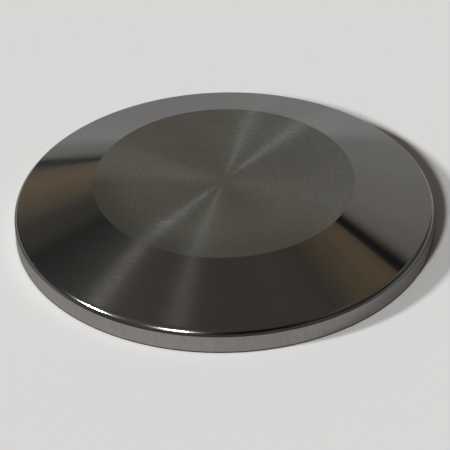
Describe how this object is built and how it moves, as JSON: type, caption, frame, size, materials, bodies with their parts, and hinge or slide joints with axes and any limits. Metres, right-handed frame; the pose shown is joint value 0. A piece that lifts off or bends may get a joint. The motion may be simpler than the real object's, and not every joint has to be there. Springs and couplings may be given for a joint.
{
  "type": "sanitary clamp end cap",
  "caption": "Round solid end cap for a sanitary clamp joint: flat sealing face with a gasket groove, a sloping clamp shoulder and a flat outer face.",
  "frame": {"origin": "centre of the sealing face, on the turning axis", "axes": "+Z along the turning axis, from the sealing face to the outer face; X and Y lie in the sealing face"},
  "size_m": [0.0504, 0.0504, 0.0063],
  "materials": {
    "stainless_steel": "turned stainless steel: fine concentric marks on the flat faces, polished shoulder, brushed rim wall"
  },
  "bodies": {
    "root": {"end_cap": "stainless_steel"}
  },
  "joints": []
}
